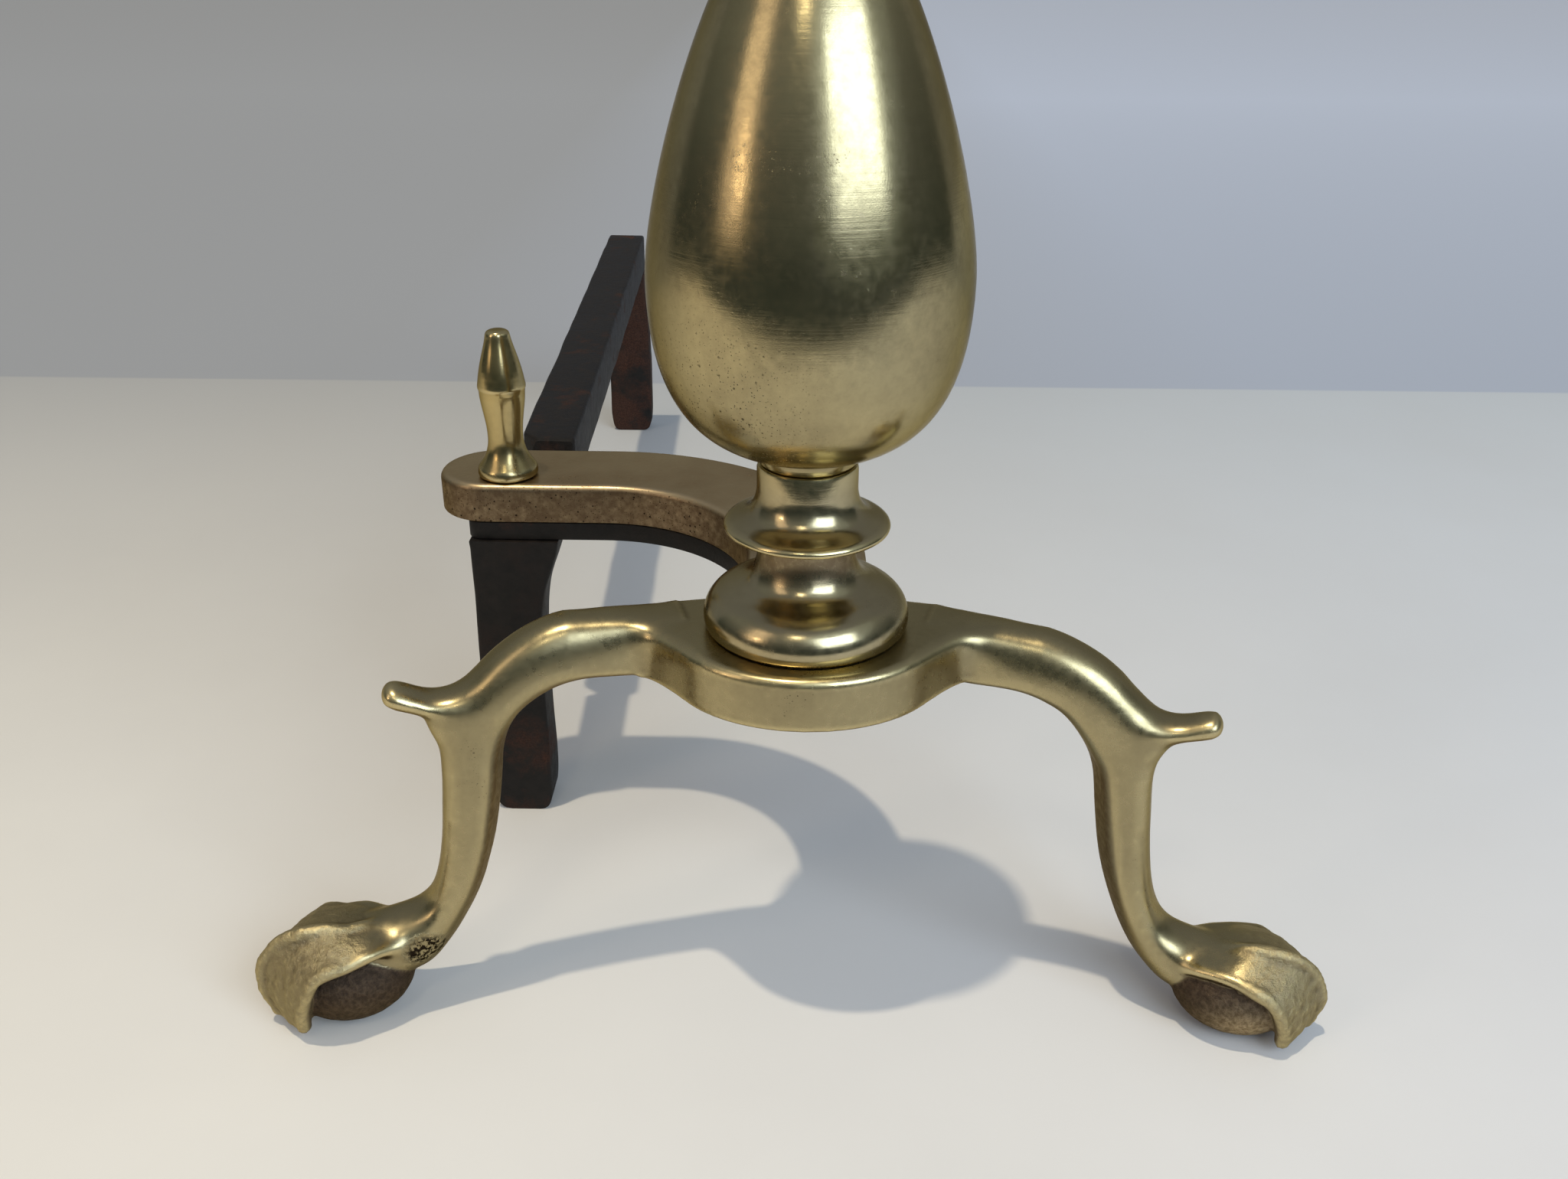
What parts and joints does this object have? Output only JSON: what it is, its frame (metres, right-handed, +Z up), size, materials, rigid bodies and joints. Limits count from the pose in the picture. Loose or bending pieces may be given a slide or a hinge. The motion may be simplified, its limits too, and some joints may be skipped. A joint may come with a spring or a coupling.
{
  "type": "andiron",
  "caption": "Brass andiron with a turned vase column, cabriole legs on claw-and-ball feet, a swept side arm with a turned log stop, and a square iron log bar.",
  "frame": {"origin": "on the floor, under the middle of the andiron's bounding box", "axes": "+Z up; the front with the two brass legs faces -Y; the log bar runs back along +Y, a little outward; the arm and the bar stand on the -X side"},
  "size_m": [0.2942, 0.512, 0.3521],
  "materials": {
    "cast_brass": "aged satin casting with small pits, dark in the recesses",
    "turned_brass": "turned and polished, dulled, with fine specks of tarnish",
    "black_iron": "forged, black, with a little rust",
    "rusted_iron": "forged, black over red-brown rust",
    "steel_fixings": "dark, plain"
  },
  "bodies": {
    "root": {"front_base": "cast_brass", "column_foot": "turned_brass", "neck_collar": "turned_brass", "vase_body": "turned_brass", "top_collar": "turned_brass", "top_finial": "turned_brass", "tie_rod": "steel_fixings", "tie_rod_washer": "steel_fixings", "tie_rod_nut": "steel_fixings", "brass_arm": "cast_brass", "iron_under_arm": "black_iron", "arm_screw_front": "steel_fixings", "arm_screw_back": "steel_fixings", "log_stop_finial": "turned_brass", "log_stop_stud": "steel_fixings", "front_iron_leg": "black_iron", "log_bar": "black_iron", "rear_leg": "rusted_iron", "bar_rivet_outer": "black_iron", "bar_rivet_inner": "black_iron"}
  },
  "joints": []
}
